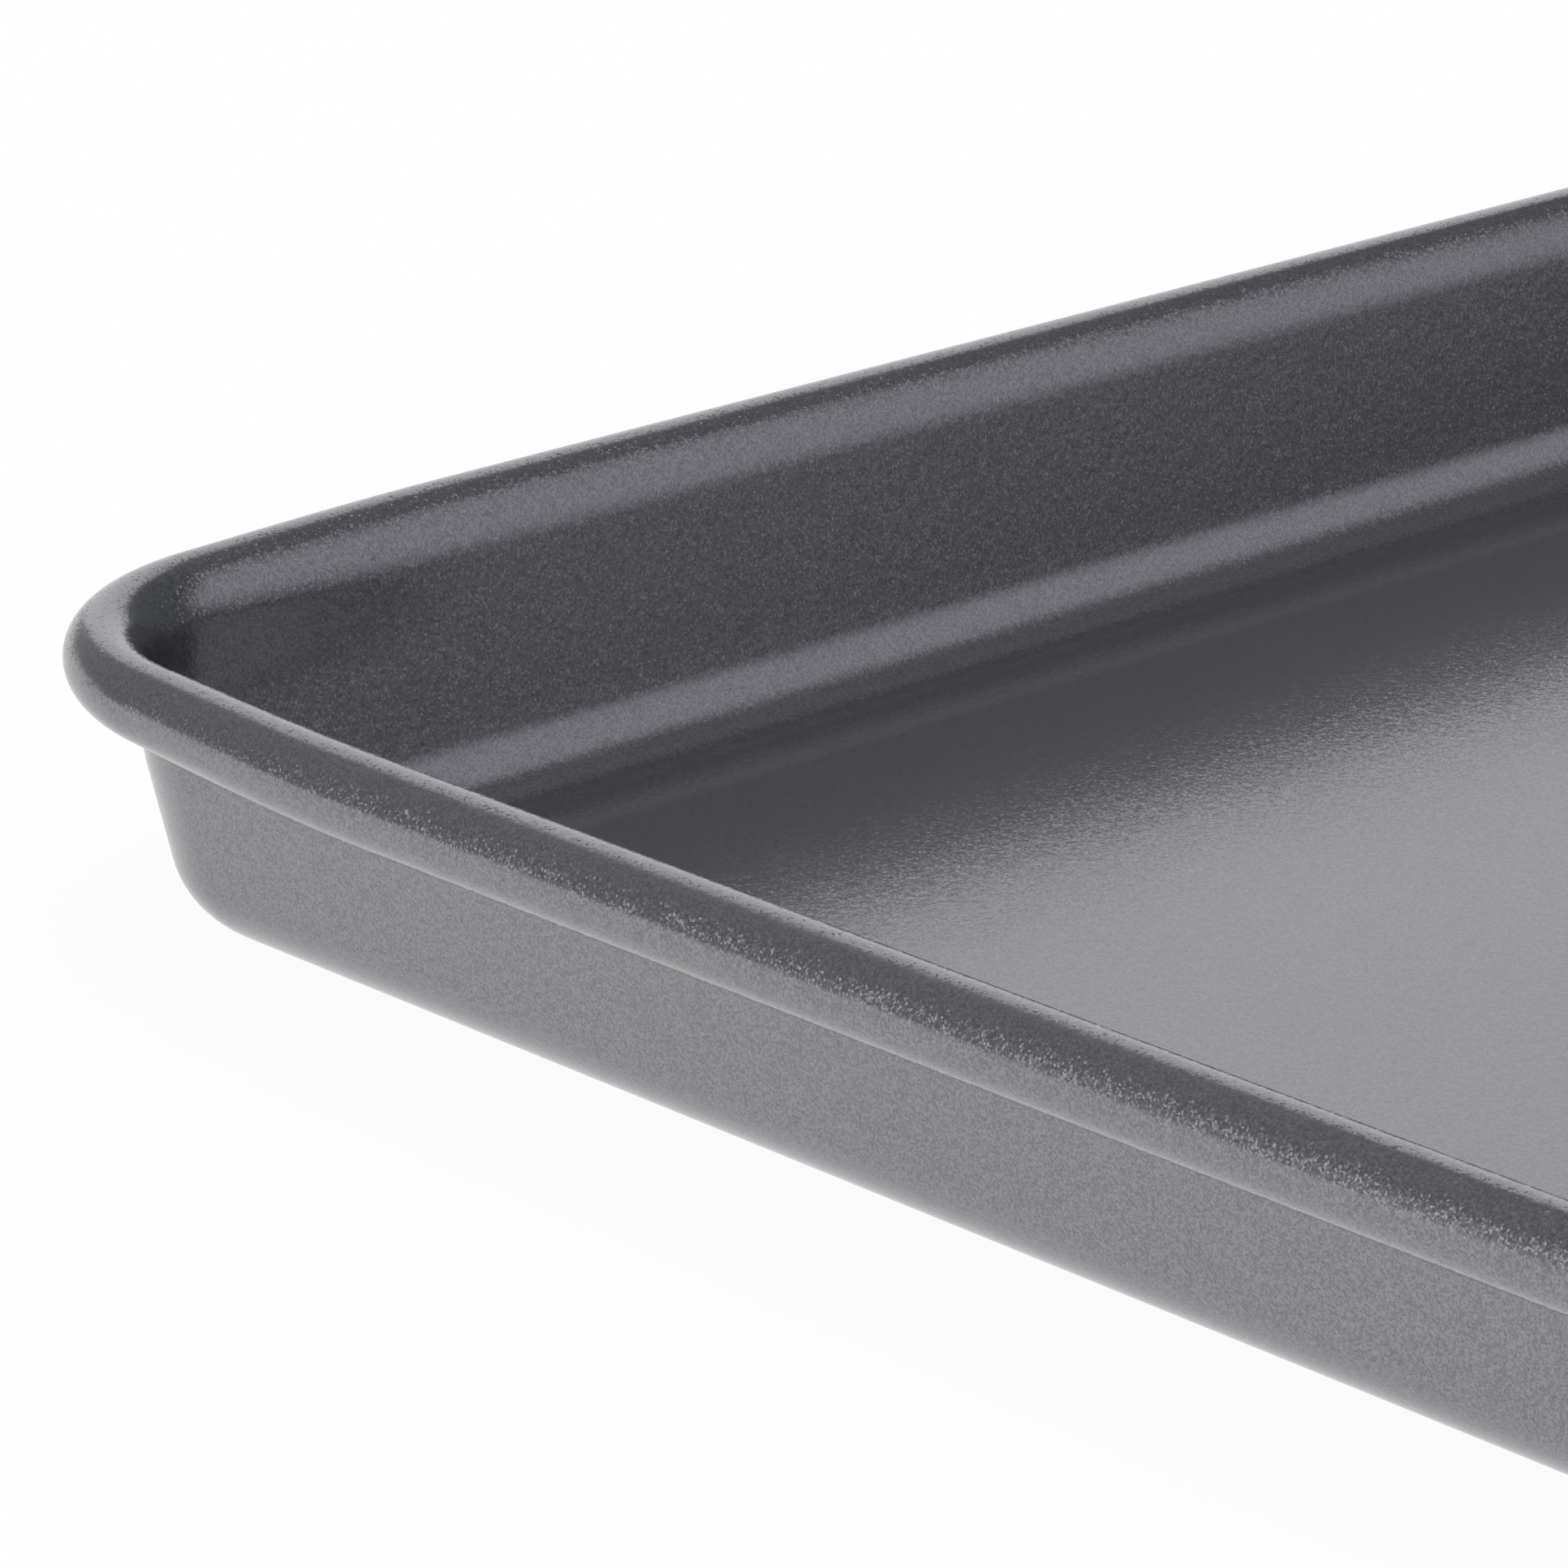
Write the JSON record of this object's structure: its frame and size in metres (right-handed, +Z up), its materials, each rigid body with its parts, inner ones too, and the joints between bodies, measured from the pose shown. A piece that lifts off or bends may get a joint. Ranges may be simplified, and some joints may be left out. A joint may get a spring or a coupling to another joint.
{
  "type": "cookie sheet",
  "caption": "Shallow rectangular baking sheet with leaning walls, rounded corners and a rim rolled outwards over a wire, for baking biscuits and flat foods in an oven.",
  "frame": {"origin": "middle of the flat underside, on the surface that the sheet stands on", "axes": "+X along the long sides, +Y along the short sides, +Z up out of the open top"},
  "size_m": [0.438, 0.292, 0.02],
  "materials": {
    "non_stick_coat": "satin dark grey non-stick coating with fine metallic flakes and a slight orange peel",
    "rim_steel": "drawn bright steel wire"
  },
  "bodies": {
    "root": {"tray_pan": "non_stick_coat", "rim_wire": "rim_steel"}
  },
  "joints": []
}
